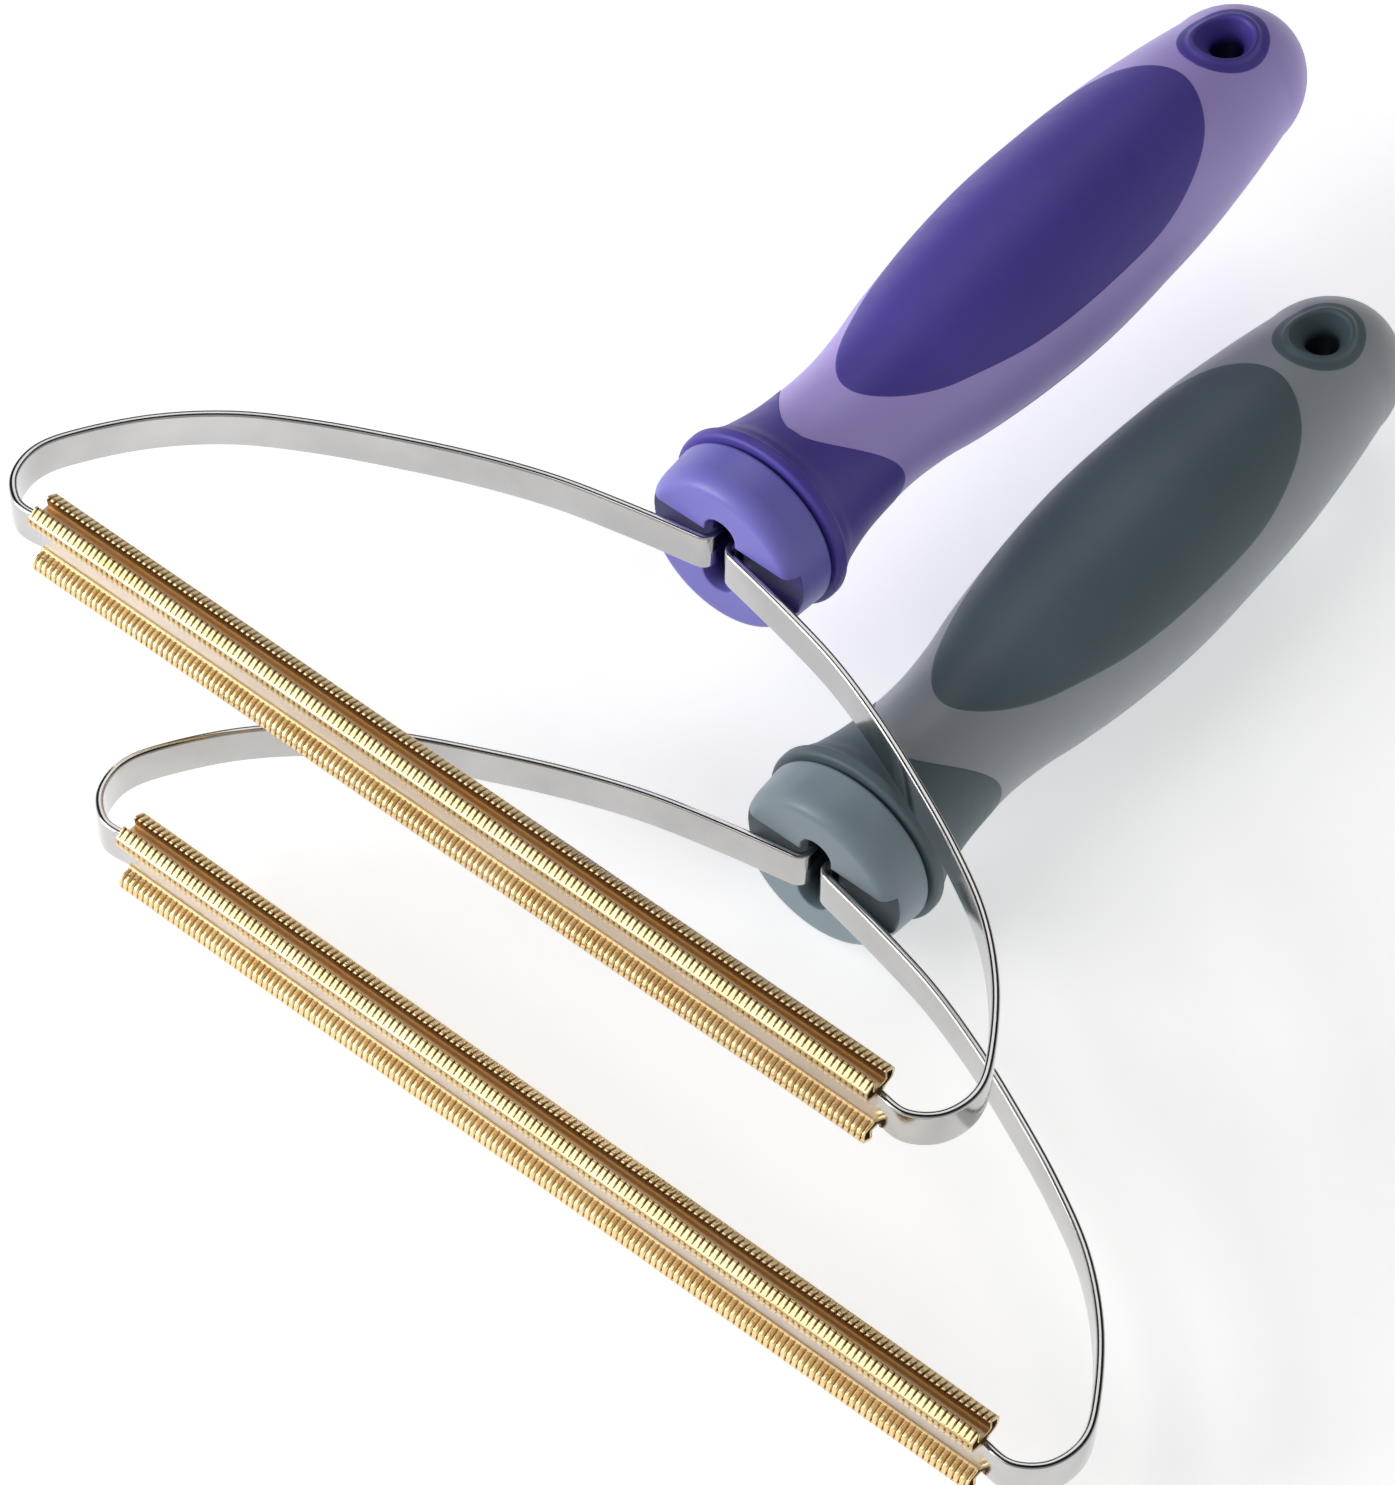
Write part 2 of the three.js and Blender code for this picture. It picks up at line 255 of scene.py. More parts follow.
# ---------------------------------------------------------------- materials

class Shader:
    """A Principled material with short helpers for its nodes."""

    def __init__(self, name, **settings):
        self.material = bpy.data.materials.new(name)
        self.material.use_nodes = True
        self.tree = self.material.node_tree
        self.main = self.tree.nodes["Principled BSDF"]
        for key, value in settings.items():
            self.main.inputs[key.replace("_", " ")].default_value = value

    def node(self, kind, links=(), **settings):
        new = self.tree.nodes.new(kind)
        for key, value in settings.items():
            if hasattr(new, key):
                setattr(new, key, value)
            else:
                new.inputs[key.replace("_", " ")].default_value = value
        for source, target in links:
            self.link(source, new.inputs[target])
        return new

    def link(self, source, target):
        self.tree.links.new(source, target)

    def place_in_part(self, stretch=(1, 1, 1)):
        """Object coordinates in metres, so a pattern keeps its real size."""
        coordinates = self.node("ShaderNodeTexCoord").outputs["Object"]
        mapping = self.node("ShaderNodeMapping", [(coordinates, "Vector")])
        mapping.inputs["Scale"].default_value = stretch
        return mapping.outputs["Vector"]

    def attribute(self, name):
        return self.node("ShaderNodeAttribute", attribute_name=name).outputs["Fac"]

    def noise(self, where, per_metre, detail=3.0, rough=0.5):
        made = self.node("ShaderNodeTexNoise", [(where, "Vector")])
        made.inputs["Scale"].default_value = per_metre
        made.inputs["Detail"].default_value = detail
        made.inputs["Roughness"].default_value = rough
        return made.outputs["Fac"]

    def ramp(self, value, *stops):
        made = self.node("ShaderNodeValToRGB", [(value, "Fac")])
        stops = [(at, (c, c, c, 1) if isinstance(c, float) else (*c, 1)) for at, c in stops]
        elements = made.color_ramp.elements
        elements[0].position, elements[0].color = stops[0]
        elements[1].position, elements[1].color = stops[-1]
        for at, colour in stops[1:-1]:
            elements.new(at).color = colour
        return made.outputs["Color"]

    def mix(self, factor, a, b, mode="MIX"):
        made = self.node("ShaderNodeMix", data_type="RGBA", blend_type=mode)
        for value, socket in ((factor, 0), (a, 6), (b, 7)):
            if isinstance(value, bpy.types.NodeSocket):
                self.link(value, made.inputs[socket])
            elif isinstance(value, float):
                made.inputs[socket].default_value = value
            else:
                made.inputs[socket].default_value = (*value, 1)
        return made.outputs[2]

    def bump(self, height, distance, strength=1.0, after=None):
        made = self.node("ShaderNodeBump", [(height, "Height")])
        made.inputs["Distance"].default_value = distance
        made.inputs["Strength"].default_value = strength
        if after is not None:
            self.link(after, made.inputs["Normal"])
        return made.outputs["Normal"]


def moulded(name, colour, deep, roughness, grain, coat=0.0, sheen=0.0):
    """Moulded plastic or soft elastomer: faint colour drift, fine spark-eroded grain, soft gloss, and
    painted shade: a near-black colour mixed in where the deep attribute marks recesses.
    """
    made = Shader(
        name, Roughness=roughness, Specular_IOR_Level=0.35, Coat_Weight=coat, Coat_Roughness=0.25,
        Sheen_Weight=sheen, Sheen_Roughness=0.45, Sheen_Tint=(*colour, 1))
    where = made.place_in_part()
    drift = made.noise(where, 42, 4.0)
    base = made.mix(made.ramp(drift, (0.3, 0.0), (0.7, 1.0)), deep, colour)
    # Painted shade: the colour is darkened towards near black in recesses that the deep attribute marks.
    recess_shade_colour = tuple(0.22 * channel**2 / max(deep) for channel in deep)
    base = made.mix(made.attribute("deep"), base, recess_shade_colour)
    made.link(base, made.main.inputs["Base Color"])
    fine = made.noise(where, 3400, 2.0)
    coarse = made.noise(where, 260, 3.0)
    gloss = made.ramp(coarse, (0.3, roughness - 0.04), (0.7, roughness + 0.05))
    made.link(gloss, made.main.inputs["Roughness"])
    broad = made.bump(coarse, 0.00004, 0.35)
    made.link(made.bump(fine, grain, 0.5, broad), made.main.inputs["Normal"])
    return made.material


def rolled_steel(name):
    """Bright spring strip: fine rolling lines, faint handling haze and a satin straight bar."""
    made = Shader(name, Metallic=1.0, Roughness=0.2)
    where = made.place_in_part((1, 1, 60))
    lines = made.noise(where, 90, 6.0, 0.6)
    haze = made.noise(made.place_in_part(), 70, 4.0)
    drift = made.ramp(haze, (0.35, 0.0), (0.7, 1.0))
    base = made.mix(drift, (0.50, 0.495, 0.49), (0.58, 0.575, 0.57))
    bar = made.attribute("bar")
    made.link(made.mix(bar, base, (0.62, 0.605, 0.635)), made.main.inputs["Base Color"])
    hazed = made.ramp(haze, (0.3, 0.10), (0.7, 0.18))
    lined = made.ramp(lines, (0.3, 0.09), (0.7, 0.19))
    satin = (0.5, 0.5, 0.5)
    made.link(made.mix(bar, made.mix(0.5, hazed, lined), satin), made.main.inputs["Roughness"])
    made.link(made.bump(lines, 0.000004, 0.5), made.main.inputs["Normal"])
    return made.material


def stamped_brass(name):
    """Bright brass sheet with painted shade in the tooth gaps (together with some dust there), along the
    folds, on the legs and in the trough.
    """
    made = Shader(name, Metallic=1.0, Roughness=0.26)
    where = made.place_in_part()
    drift = made.noise(where, 110, 5.0)
    bright = made.ramp(drift, (0.3, 0.0), (0.72, 1.0))
    clean = made.mix(bright, (0.86, 0.63, 0.32), (0.94, 0.74, 0.43))
    # Painted shade, with some dust, in the tooth gaps; painted shade along the fold, on the legs and on the
    # upper blade's outer wall. The wear noise varies it a little.
    gap = made.attribute("gap")
    trough = made.attribute("trough")
    # Painted shade: the trough is mixed towards dark brown, most strongly up under the rims.
    brass_with_trough_shade = made.mix(trough, clean, (0.22, 0.098, 0.03))
    worn = made.noise(where, 1500, 2.0)
    depth = made.ramp(worn, (0.25, 0.8), (0.6, 1.0))
    dark = made.mix(1.0, gap, depth, "MULTIPLY")
    base = made.mix(dark, brass_with_trough_shade, (0.055, 0.023, 0.005))
    made.link(base, made.main.inputs["Base Color"])
    gloss = made.mix(gap, made.ramp(drift, (0.3, 0.22), (0.7, 0.32)), (0.5, 0.5, 0.5))
    gloss = made.mix(trough, gloss, (0.45, 0.45, 0.45))
    made.link(gloss, made.main.inputs["Roughness"])
    made.link(made.bump(made.noise(where, 2600, 2.0), 0.000006, 0.5), made.main.inputs["Normal"])
    return made.material


def plastics(tool, core, soft, plug):
    """One tool's three plastics, each from its colour and the deeper colour that it drifts to."""
    hard = dict(grain=0.000012, coat=0.08)
    return {
        "core": moulded(f"{tool}_core", *core, roughness=0.42, sheen=0.05, **hard),
        "soft": moulded(f"{tool}_soft", *soft, roughness=0.46, sheen=0.05, grain=0.00002),
        "plug": moulded(f"{tool}_plug", *plug, roughness=0.40, **hard),
    }


LOOKS = {
    "purple": plastics(
        "purple",
        core=((0.44, 0.345, 0.765), (0.41, 0.318, 0.73)),
        soft=((0.08, 0.057, 0.345), (0.07, 0.05, 0.315)),
        plug=((0.178, 0.165, 0.55), (0.16, 0.148, 0.515)),
    ),
    "grey": plastics(
        "grey",
        core=((0.325, 0.355, 0.388), (0.30, 0.33, 0.36)),
        soft=((0.098, 0.138, 0.156), (0.086, 0.122, 0.138)),
        plug=((0.235, 0.30, 0.345), (0.21, 0.27, 0.315)),
    ),
}
STEEL = rolled_steel("spring_steel")
BRASS = stamped_brass("stamped_brass")


# ---------------------------------------------------------------- handle pieces

def core_mesh():
    """Hard body with the spigot's bore at its front and an opening under the grommet."""
    steps, chamfer = 224, 0.2
    front = [
        (ON_AXIS, BORE_END), (BORE_RADIUS, BORE_END), (BORE_RADIUS, CORE_FRONT + chamfer),
        (BORE_RADIUS + chamfer, CORE_FRONT), (CORE_TUBE_RADIUS - chamfer, CORE_FRONT),
        (CORE_TUBE_RADIUS, CORE_FRONT + chamfer), (CORE_TUBE_RADIUS, 80), (13.2, 80.5),
    ]
    neck = np.linspace(81, BUTT_START, 150)
    butt = BUTT_START + (BUTT_END - BUTT_START) * np.sin(np.linspace(0, np.pi / 2, 36)[1:])
    y = np.concatenate([neck, butt])
    profile = front + list(zip(handle_radius(y), y))
    points = turned(profile, steps).reshape(-1, 3)
    faces = grid_faces(len(profile), steps, False, True)
    x, y = points[faces].mean(1)[:, :2].T
    across = x / HANG_HOLE_OPENING
    along = (y - HANG_HOLE_Y) / (HANG_HOLE_OPENING * GROMMET_STRETCH)
    return points, faces[across**2 + along**2 > 1]


def collar_mesh():
    """Soft sleeve: flange, flared neck and the curved rear edge, rolled in where it meets the core."""
    steps = 256
    angle = np.linspace(0, 2 * np.pi, steps, endpoint=False)
    curve_depth = COLLAR_SIDE_END - COLLAR_TOP_END
    rear = np.full(steps, 90.0)
    for _ in range(30):
        z = (handle_radius(rear) + 0.1) * np.sin(angle)
        rear = COLLAR_SIDE_END - curve_depth * np.minimum(np.abs(z) / NECK_RADIUS, 1) ** 2
    bore = [(COLLAR_BORE, 80), (COLLAR_BORE, CORE_FRONT), (COLLAR_BORE + 0.3, FLANGE_FRONT)]
    turn = np.linspace(0, np.pi / 2, 7)
    front, back, back_y = 0.7, 0.5, 75.05
    edge = [
        (FLANGE_RADIUS - front + front * np.sin(t), FLANGE_FRONT + front - front * np.cos(t)) for t in turn
    ]
    heel = [(FLANGE_RADIUS - back + back * np.cos(t), back_y + back * np.sin(t)) for t in turn[:5]]
    dip = [(15.95, 75.66), (15.72, 75.95), (15.58, 76.3), (15.4, 76.8)]
    rows = list(turned(bore + [(13, FLANGE_FRONT)] + edge + heel + dip, steps))

    def add_row(y, lift):
        radius = handle_radius(y) + lift
        rows.append(np.stack([radius * np.cos(angle), y, radius * np.sin(angle)], -1))

    sleeve_start, roll_in = 77.2, 0.25
    for v in np.linspace(0.02, 1, 46):
        y = sleeve_start + (rear - roll_in - sleeve_start) * v
        add_row(y, 0.12 * (1 - smooth_step(77, 79, y)) + 0.1)
    for back_by, lift in ((0.15, 0.085), (0.06, 0.05), (0.0, -0.02), (0.0, -0.45)):
        add_row(rear - back_by, lift)
    points = np.array(rows)
    return points.reshape(-1, 3), grid_faces(len(points), steps, False, True)


def pad_mesh(side):
    """Soft oval pad that follows the grip's surface, with a small rounded edge."""
    steps = 240
    half = np.array(PAD_OUTLINE, float)
    mirrored = half[-2:0:-1] * [-1, 1]
    ring = np.vstack([half, mirrored])
    outline = spline(np.vstack([ring[-1:], ring, ring[:2]]), 24)[24:-25]
    outline = points_along(np.vstack([outline, outline[:1]]), count=steps)
    middle = np.array([0, PAD_MIDDLE])
    reach = np.linalg.norm(outline - middle, axis=1)
    inward = (middle - outline) / reach[:, None]
    insets = [0, 0, 0.03, 0.09, 0.18, 0.3, 0.5, 0.8]
    lifts = [-0.5, -0.04, 0.03, 0.07, 0.095, 0.11, PAD_HEIGHT, PAD_HEIGHT]
    rows = [(outline + inward * inset, lift) for inset, lift in zip(insets, lifts)]
    for t in 1 - np.linspace(0, 1, 44)[1:] ** 1.15:
        rows.append((middle + (outline + inward * insets[-1] - middle) * t, PAD_HEIGHT))
    grid = []
    for flat, lift in rows:
        radius = handle_radius(flat[:, 1]) + lift
        z = np.sqrt(np.maximum(radius**2 - flat[:, 0] ** 2, 0.01))
        grid.append(np.column_stack([flat, side * z]))
    grid = np.array(grid)
    return grid.reshape(-1, 3), grid_faces(len(grid), steps, False, True)


def grommet_mesh():
    """Lining of the hang hole: flat rim, raised rounded lip and a funnel down to the throat, with the weight
    of painted shade in the funnel.
    """
    steps = 160
    angle = np.linspace(0, 2 * np.pi, steps, endpoint=False)
    half = []
    for reach, lift in GROMMET_RIM:
        x = reach * np.cos(angle)
        y = HANG_HOLE_Y + GROMMET_STRETCH * reach * np.sin(angle)
        half.append(np.stack([x, y, np.sqrt(handle_radius(y) ** 2 - x**2) + lift], -1))
    mouth = half[-1][:, 2]
    for t in np.linspace(0, 1, 30)[1:]:
        narrowing = smooth_step(-0.1, 0.5, t)
        reach = GROMMET_MOUTH - (GROMMET_MOUTH - GROMMET_THROAT) * narrowing
        x = reach * np.cos(angle)
        y = HANG_HOLE_Y + GROMMET_THROAT_SHIFT * narrowing + GROMMET_STRETCH * reach * np.sin(angle)
        half.append(np.stack([x, y, mouth + (GROMMET_THROAT_HEIGHT - mouth) * t], -1))
    top = np.array(half)
    bottom = top[::-1] * [1, 1, -1]
    points = np.concatenate([top, bottom])
    # Painted shade in the funnel: none at the mouth, full towards the throat, read by the plastic as its
    # deep attribute.
    funnel = (np.arange(len(top)) - len(GROMMET_RIM)) / (len(top) - len(GROMMET_RIM))
    funnel_shade = smooth_step(0.34, 0.7, funnel)
    deep = np.repeat(np.concatenate([funnel_shade, funnel_shade[::-1]]), steps)
    return points.reshape(-1, 3), grid_faces(len(points), steps, False, True), deep


# ---------------------------------------------------------------- plug

def solid_of(name, points, faces):
    """A loose object, only there to be cut or to cut."""
    made = bpy.data.objects.new(name, mesh_of(name, points * MM, faces))
    bpy.context.scene.collection.objects.link(made)
    return made


def drawn(outline, low, high):
    """A closed outline in X and Z, drawn along Y, as points and four-sided faces with fan ends."""
    n = len(outline)
    shrink = [0.001, 1, 1, 0.001]
    rows = []
    for scale, y in zip(shrink, (low, low, high, high)):
        rows.append(np.column_stack([outline[:, 0] * scale, np.full(n, y), outline[:, 1] * scale]))
    return np.concatenate(rows), grid_faces(len(rows), n, False, True)


def plug_mesh():
    """Slotted plug and its spigot, cut, remeshed finely and softened like a moulding's edges."""
    turn = np.linspace(0, np.pi / 2, 14)
    rim_radius = PLUG_RADIUS - PLUG_EDGE + PLUG_EDGE * np.sin(turn)
    rim_y = PLUG_FRONT + PLUG_EDGE_LENGTH * (1 - np.cos(turn))
    profile = [(ON_AXIS, PLUG_FRONT), (6, PLUG_FRONT)] + list(zip(rim_radius, rim_y)) + [
        (15.42, 71.6), (15.5, 72.3), (15.35, 72.75), (15.0, PLUG_BACK), (SPIGOT_RADIUS, PLUG_BACK),
        (SPIGOT_RADIUS, 94.2), (SPIGOT_RADIUS - 0.8, SPIGOT_END), (ON_AXIS, SPIGOT_END)]
    steps, hole_steps = 160, 40
    body = turned(profile, steps).reshape(-1, 3)
    solid = solid_of("plug_blank", body, grid_faces(len(profile), steps, False, True))
    half_width, half_height = SLOT_WIDTH / 2, SLOT_HEIGHT / 2
    angle = np.linspace(0, 2 * np.pi, 64, endpoint=False)
    shift = np.where(np.sin(angle) >= 0, 1, -1) * (half_height - half_width)
    slot = np.stack([half_width * np.cos(angle), half_width * np.sin(angle) + shift], -1)
    box = np.array([(1, 1), (-1, 1), (-1, -1), (1, -1)], float)
    groove = drawn(box * [20, GROOVE_HEIGHT / 2], PLUG_FRONT - 2, PLUG_FRONT + GROOVE_DEPTH)
    tails = drawn(box * [2.5, BAND_WIDTH / 2 + 0.3], PLUG_FRONT + 4, TAIL_END + 0.3)
    rod = [(ON_AXIS, -20), (PIN_HOLE_RADIUS, -20), (PIN_HOLE_RADIUS, 20), (ON_AXIS, 20)]
    hole = turned(rod, hole_steps)[:, :, [1, 0, 2]] + [0, PIN_Y, 0]
    cuts = [groove, drawn(slot, PLUG_FRONT - 2, PLUG_FRONT + SLOT_DEPTH), tails,
            (hole.reshape(-1, 3), grid_faces(len(rod), hole_steps, False, True)[:, ::-1])]
    cutters = [solid_of(f"plug_cut_{i}", *cut) for i, cut in enumerate(cuts)]
    for cutter in cutters:
        cut = solid.modifiers.new("cut", "BOOLEAN")
        cut.operation, cut.solver, cut.object = "DIFFERENCE", "EXACT", cutter
    remesh = solid.modifiers.new("remesh", "REMESH")
    remesh.mode, remesh.voxel_size = "VOXEL", PLUG_VOXEL * MM
    soften = solid.modifiers.new("soften", "SMOOTH")
    soften.factor, soften.iterations = 0.5, 6
    made = bpy.data.meshes.new_from_object(solid.evaluated_get(bpy.context.evaluated_depsgraph_get()))
    points = np.empty(len(made.vertices) * 3)
    made.vertices.foreach_get("co", points)
    faces = np.empty(len(made.loops), np.int32)
    made.loops.foreach_get("vertex_index", faces)
    for spare in cutters + [solid]:
        bpy.data.objects.remove(spare)
    points = points.reshape(-1, 3) / MM
    return points, faces.reshape(-1, 4), plug_depth(points)


def plug_depth(points):
    """How far each point of the plug lies down in the groove or the slot, from 0 to 1: the weight of the
    painted shade that darkens them.
    """
    x, y, z = np.abs(points[:, 0]), points[:, 1] - PLUG_FRONT, np.abs(points[:, 2])
    inner = np.hypot(x, z) < PLUG_RADIUS - 0.3
    groove_depth = (z < GROOVE_HEIGHT / 2 + 0.1) * inner * smooth_step(0.3, 1.8, y) * 0.75
    slot_depth = (x < SLOT_WIDTH / 2 + 0.1) * (z < SLOT_HEIGHT / 2 + 0.1) * smooth_step(0.5, 5, y)
    return np.maximum(groove_depth, slot_depth) * (y < PLUG_BACK - PLUG_FRONT + 0.3)


# ---------------------------------------------------------------- band and blades

def band_line():
    """Centre line of the whole band, from the left tail to the right, with most points in its bends."""
    half = [(TAIL_X, TAIL_END), (TAIL_X, 75), (TAIL_X, 68)]
    bend_y = BOW[0][1] + BEND_RADIUS + 0.1
    for angle in np.linspace(0, BEND_ANGLE, 10):
        half.append((TAIL_X + BEND_RADIUS * (1 - np.cos(angle)), bend_y - BEND_RADIUS * np.sin(angle)))
    half = np.vstack([np.array(half), spline(BOW, 24)])
    whole = np.vstack([half * [-1, 1], half[::-1]])
    line = smoothed(points_along(whole, step=BAND_STEP), 8, 2.2)
    most_turn, most_steps = 0.03, 8
    keep = np.zeros(len(line), bool)
    keep[[0, -1]] = True
    turned_by, last = 0.0, 0
    for i, amount in enumerate(turning(np.gradient(line, axis=0)) / BAND_STEP**2):
        turned_by += amount
        if turned_by > most_turn or i - last >= most_steps:
            keep[i + 1] = True
            turned_by, last = 0.0, i
    return line[keep]


def band_section():
    """Outline across the band, as (out from its line, up): crowned edges with round corners."""
    crown, corner, tilt = 1.1, 0.384, math.radians(22)
    top = [(crown * np.sin(t), crown * (np.cos(t) - 1)) for t in np.linspace(0, tilt, 5)[:-1]]
    shoulder = crown * (math.cos(tilt) - 1) - corner * math.cos(tilt)
    for t in np.linspace(tilt, np.pi / 2, 6):
        top.append((BAND_THICKNESS / 2 - corner + corner * np.sin(t), shoulder + corner * np.cos(t)))
    quarter = np.array(top) + [0, BAND_WIDTH / 2]
    upper = np.vstack([quarter[::-1], quarter[1:] * [-1, 1]])
    return np.vstack([upper, upper[::-1] * [1, -1]])


def band_mesh():
    """The band's section swept along its line, and how much each point belongs to the bar."""
    line, section = band_line(), band_section()
    along = directions(line)
    side = np.stack([-along[:, 1], along[:, 0]], -1)
    flat = line[:, None] + side[:, None] * section[None, :, :1]
    height = np.broadcast_to(section[None, :, 1:], (len(line), len(section), 1))
    grid = np.concatenate([flat, height], -1)
    first, last = (np.broadcast_to(end.mean(0), (1, *end.shape)) for end in (grid[0], grid[-1]))
    grid = np.concatenate([first, grid, last])
    on_bar = (np.abs(grid[..., 1]) < 2) * (1 - smooth_step(81, 84, np.abs(grid[..., 0])))
    return grid.reshape(-1, 3), grid_faces(len(grid), len(section), False, True), on_bar.ravel()


def sheet_section():
    """The folded sheet's centre line, with most points in its rounded folds, and its normals."""
    rear = np.array(BLADE_FOLDS, float)
    line = np.vstack([rear[::-1], rear[1:] * [-1, 1]])
    even = smoothed(points_along(line, step=SHEET_STEP), 14, 5.5)
    along = directions(even)
    most_turn, most_length = 0.16, 0.24
    spent = np.cumsum(turning(along) / most_turn + SHEET_STEP / most_length)
    spent = np.concatenate([[0], spent])
    kept = np.searchsorted(spent, np.arange(0, spent[-1], 1.0))
    kept = np.unique(np.append(kept, len(even) - 1))
    return even[kept], np.stack([along[kept, 1], -along[kept, 0]], -1)


def blade_zones(line):
    """Which points of the sheet are outside, and how much each is crest, outer wall or leg."""
    y, z = np.abs(line[:, 0]), line[:, 1]
    top_left, top_right = np.argmax(z * (line[:, 0] > 0)), np.argmax(z * (line[:, 0] < 0))
    number = np.arange(len(line))
    outside = (number < top_left + 1) | (number > top_right - 1)
    crest = np.where(outside, smooth_step(2.6, 2.95, z), smooth_step(3.05, 3.3, z))
    wall = outside * (1 - smooth_step(2.15, 2.35, z)) * smooth_step(1.0, 1.3, y)
    leg = outside * (1 - smooth_step(1.0, 1.9, y))
    return outside, crest, wall, leg


def tooth_gaps(line, phase):
    """How open the gap between two teeth is: widest behind the crest, and narrow low on the walls."""
    z, behind = line[:, 1], line[:, 0] > 0
    narrow = 0.9 - np.where(behind, 0.5, 0.24 * smooth_step(2.9, 3.45, z)) * (z > 2.4)
    narrow = narrow - 0.5 * smooth_step(1.3, 2.0, z) * (z < 2.4)
    return np.clip((phase[:, None] - narrow) / (1 - narrow), 0, 1) ** 0.6


def blade_mesh(side):
    """Folded sheet with rows of teeth pressed into both crests, slopes and outer faces.

    Also how much painted shade lies at each point, from 0 to 1: in the tooth gaps (with some dust there),
    along the fold, on the legs, on the upper blade's outer wall and in the trough."""
    line, out = sheet_section()
    z = line[:, 1]
    pitch = BAR_LENGTH / (TEETH + 1)
    stations = np.arange((TEETH + 1) * POINTS_PER_TOOTH + 1) / POINTS_PER_TOOTH
    x = stations * pitch - BAR_LENGTH / 2
    phase = np.cos(2 * np.pi * (x / pitch - 0.5 * (TEETH % 2)))
    near_end = smooth_step(0.2 * pitch, 0.5 * pitch, BAR_LENGTH / 2 - np.abs(x))
    outside, crest, wall, leg = blade_zones(line)
    slit = tooth_gaps(line, phase) * near_end[:, None]
    rib = (np.clip((phase + 0.1) / 1.1, 0, 1) ** 1.6 * near_end)[:, None]
    depth = CREST_CUT * slit * crest + (WALL_RIB * rib + WALL_CUT * slit) * wall
    half = BLADE_SHEET / 2
    outer = line[None] + out[None] * (half - depth)[..., None]
    inner = np.broadcast_to(line - out * half, outer.shape)
    loop = np.concatenate([outer, inner[:, ::-1]], 1)
    count = loop.shape[1]
    grid = np.concatenate([np.broadcast_to(x[:, None, None], (len(x), count, 1)), loop], -1)
    grid[..., 2] = side * (BAND_WIDTH / 2 + grid[..., 2])
    # Painted shade: a dark line along the fold, the valleys between wall ribs, the legs tucked against the
    # band, and the upper blade's outer wall, which is made darker than the lower blade's; the tooth gaps
    # hold painted shade with some dust.
    fold_shade = outside * smooth_step(2.25, 2.38, z) * (1 - smooth_step(2.5, 2.62, z))
    upper_wall_shade = 0.3 * smooth_step(1.2, 1.8, z) * (side > 0)
    wall_shade = (slit + 0.15 * rib + upper_wall_shade) * wall
    leg_shade = (0.3 + 0.6 * slit + 0.1 * rib) * leg
    gap = np.clip(slit * crest + wall_shade + leg_shade + 0.6 * fold_shade, 0, 1)
    gap = np.concatenate([gap, np.zeros_like(gap)], 1)
    # Painted shade in the trough, strongest up under the rims.
    in_trough = (~outside) * (0.42 + 0.55 * smooth_step(1.45, 2.4, z)) * (1 - smooth_step(3.25, 3.5, z))
    trough = np.broadcast_to(np.concatenate([in_trough, np.zeros_like(in_trough)]), gap.shape)
    faces = grid_faces(len(x), count, False, True)
    strip = np.arange(len(line) - 1)
    caps = []
    for start, order in ((0, 1), ((len(x) - 1) * count, -1)):
        quads = np.stack([strip, strip + 1, count - 2 - strip, count - 1 - strip], -1) + start
        caps.append(quads[:, ::order])
    faces = np.concatenate([faces] + caps)
    return grid.reshape(-1, 3), faces, gap.ravel(), trough.ravel()


# ---------------------------------------------------------------- both tools

PLUG = plug_mesh()
BAND = band_mesh()
GROMMET = grommet_mesh()
BLADES = {side: blade_mesh(side) for side in (1, -1)}


def build_tool(tool):
    """Replace one tool's CAD nodes with detailed pieces; the wedge and pin only change material."""
    low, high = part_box(f"{tool}_head_plug")
    origin = np.array([(low[0] + high[0]) / 2, low[1] - PLUG_FRONT * MM, (low[2] + high[2]) / 2])
    handle, head = f"{tool}_handle", f"{tool}_head"
    looks = LOOKS[tool]

    def add(name, points, faces, body, slot_name, look, **attributes):
        mesh = mesh_of(f"{tool}_{name}_mesh", points * MM + origin, facing_out(points, faces))
        piece = place(f"{tool}_{name}_detail", mesh, body, look, f"{tool}_{name}")
        for key, values in attributes.items():
            add_attribute(piece.data, key, values)

    add("handle_core", *core_mesh(), handle, f"{tool}_core", looks["core"])
    add("neck_collar", *collar_mesh(), handle, f"{tool}_soft", looks["soft"])
    add("upper_grip_pad", *pad_mesh(1), handle, f"{tool}_soft", looks["soft"])
    add("lower_grip_pad", *pad_mesh(-1), handle, f"{tool}_soft", looks["soft"])
    # The grommet and the plug carry a deep attribute: painted shade in the hang hole's funnel and in the
    # plug's groove and slot.
    points, faces, deep = GROMMET
    add("hang_hole_grommet", points, faces, handle, f"{tool}_soft", looks["soft"], deep=deep)
    points, faces, deep = PLUG
    add("head_plug", points, faces, head, f"{tool}_plug", looks["plug"], deep=deep)
    points, faces, bar = BAND
    add("spring_band", points, faces, head, "spring_steel", STEEL, bar=bar)
    for name, side in (("upper_blade", 1), ("lower_blade", -1)):
        points, faces, gap, trough = BLADES[side]
        add(name, points, faces, head, "brass", BRASS, gap=gap, trough=trough)
    for name, look in (("tail_wedge", looks["soft"]), ("clamp_pin", STEEL)):
        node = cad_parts[f"{tool}_{name}"]
        node.data.materials.clear()
        node.data.materials.append(look)


for tool in TOOLS:
    build_tool(tool)


# ---------------------------------------------------------------- camera, floor and light

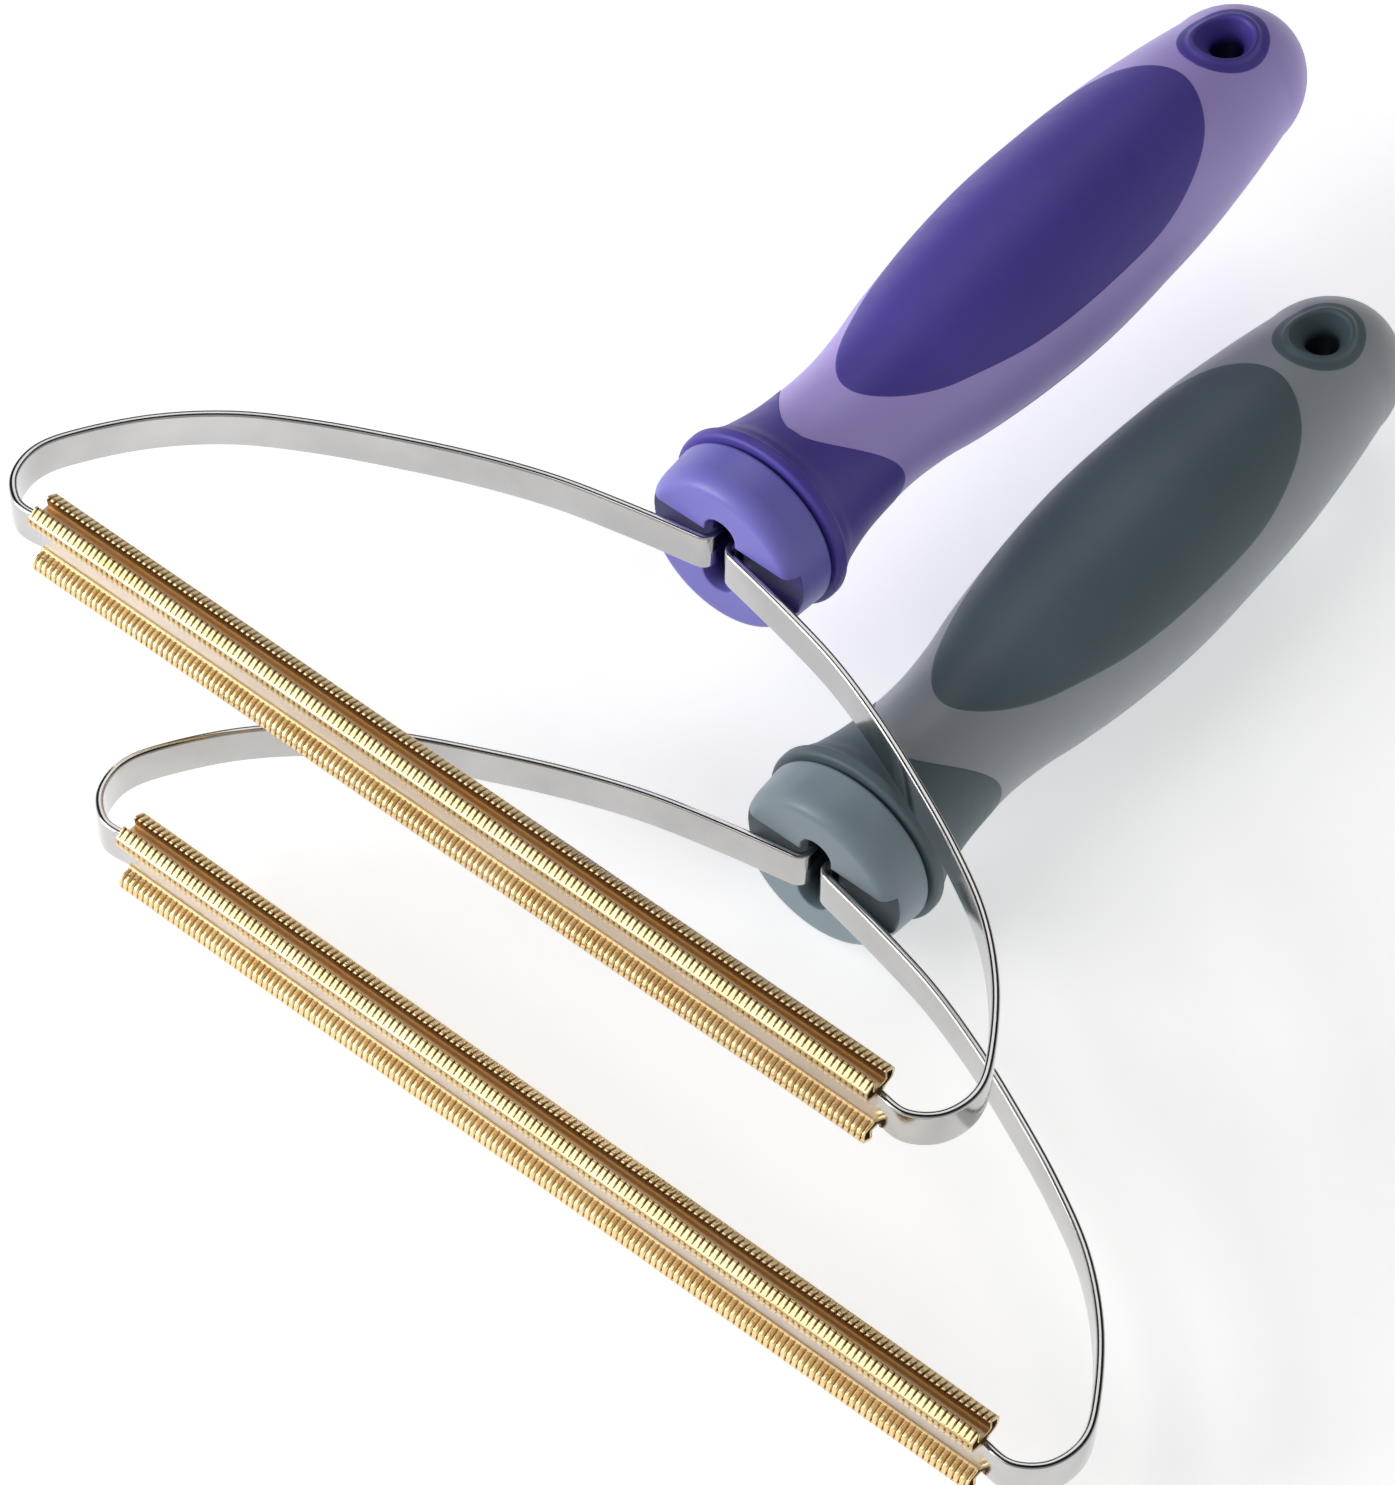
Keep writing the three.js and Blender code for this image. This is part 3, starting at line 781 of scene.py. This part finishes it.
def axes_of(azimuth, elevation, roll):
    """Right, up and back directions of a camera that looks down at the part."""
    a, e, r = (math.radians(value) for value in (azimuth, elevation, roll))
    back = Vector((math.sin(a) * math.cos(e), -math.cos(a) * math.cos(e), math.sin(e)))
    right = Vector((math.cos(a), math.sin(a), 0))
    up = back.cross(right)
    turned_right = right * math.cos(r) + up * math.sin(r)
    return turned_right, back.cross(turned_right), back


# The camera looks at AIM from DISTANCE, with CAMERA_ANGLES as azimuth, elevation and roll in degrees
AIM = Vector((0.002978, -0.06059, 0.04364))
DISTANCE = 0.8993
CAMERA_ANGLES = (37.969, 52.642, 1.97)

right, up, back = axes_of(*CAMERA_ANGLES)
camera = bpy.data.objects.new("camera", bpy.data.cameras.new("camera"))
bpy.context.scene.collection.objects.link(camera)
bpy.context.scene.camera = camera
camera.data.sensor_fit = "HORIZONTAL"
camera.data.sensor_width = 36
camera.data.lens = 154.8
camera.data.clip_start = 0.01
turn = Matrix((right, up, back)).transposed().to_4x4()
camera.matrix_world = Matrix.Translation(AIM + back * DISTANCE) @ turn

FLOOR_REACH = 3.0
floor_shader = Shader("floor_paper", Roughness=0.9, Emission_Color=(1, 1, 1, 1), Emission_Strength=0.5)
paper = floor_shader.noise(floor_shader.place_in_part(), 300, 4.0)
floor_shader.link(floor_shader.ramp(paper, (0.3, 0.90), (0.7, 0.93)), floor_shader.main.inputs["Base Color"])
floor_points = np.array([(-1, -1, 0), (1, -1, 0), (1, 1, 0), (-1, 1, 0)]) * FLOOR_REACH
floor = bpy.data.objects.new("floor", mesh_of("floor", floor_points, np.array([[0, 1, 2, 3]])))
floor.data.materials.append(floor_shader.material)
bpy.context.scene.collection.objects.link(floor)


LIGHT_AIM = Vector((0, 0, 0.03))


def soft_light(name, where, size, power):
    """A rectangular area light that looks at the part."""
    data = bpy.data.lights.new(name, "AREA")
    data.shape = "RECTANGLE"
    data.size, data.size_y = size
    data.energy = power
    lamp = bpy.data.objects.new(name, data)
    bpy.context.scene.collection.objects.link(lamp)
    lamp.location = where
    lamp.rotation_euler = (LIGHT_AIM - Vector(where)).to_track_quat("-Z", "Y").to_euler()


soft_light("window_left", (-0.75, -0.9, 0.42), (0.7, 0.7), 11)
soft_light("strip_front", (-0.42, -0.55, 0.9), (0.8, 0.4), 1.7)
soft_light("edge_light", (-0.57, 0.68, 1.24), (0.8, 0.8), 2.8)

BRIGHT_SIDE = Vector((-0.6, -0.6, 0.5)).normalized()
PANEL_SIDE = Vector((-0.34, 0.38, 0.86)).normalized()


def studio_world():
    """A studio that is brightest in front on the left and dims towards its ceiling, with a dark
    panel round the light above and behind."""
    world = bpy.data.worlds.new("studio")
    world.use_nodes = True
    nodes, links = world.node_tree.nodes, world.node_tree.links
    heading = nodes.new("ShaderNodeTexCoord").outputs["Generated"]

    def towards(side):
        made = nodes.new("ShaderNodeVectorMath")
        made.operation = "DOT_PRODUCT"
        made.inputs[1].default_value = side
        links.new(heading, made.inputs[0])
        return made.outputs["Value"]

    def dimming(value, start, end, dimmest):
        made = nodes.new("ShaderNodeValToRGB")
        links.new(value, made.inputs["Fac"])
        first, last = made.color_ramp.elements
        first.position, first.color = start, (1, 1, 1, 1)
        last.position, last.color = end, (dimmest, dimmest, dimmest, 1)
        return made.outputs["Color"]

    level = nodes.new("ShaderNodeMapRange")
    level.inputs["From Min"].default_value = -1.0
    level.inputs["From Max"].default_value = 1.0
    level.inputs["To Min"].default_value = 0.6
    level.inputs["To Max"].default_value = 0.95
    links.new(towards(BRIGHT_SIDE), level.inputs["Value"])
    height = nodes.new("ShaderNodeSeparateXYZ")
    links.new(heading, height.inputs["Vector"])
    both = nodes.new("ShaderNodeMix")
    both.data_type, both.blend_type = "RGBA", "MULTIPLY"
    both.inputs[0].default_value = 1.0
    links.new(dimming(towards(PANEL_SIDE), 0.55, 0.68, 0.04), both.inputs[6])
    links.new(dimming(height.outputs["Z"], 0.15, 0.4, 0.5), both.inputs[7])
    background = nodes["Background"]
    links.new(both.outputs[2], background.inputs["Color"])
    links.new(level.outputs["Result"], background.inputs["Strength"])
    return world


bpy.context.scene.world = studio_world()
bpy.context.scene.view_settings.view_transform = "Standard"
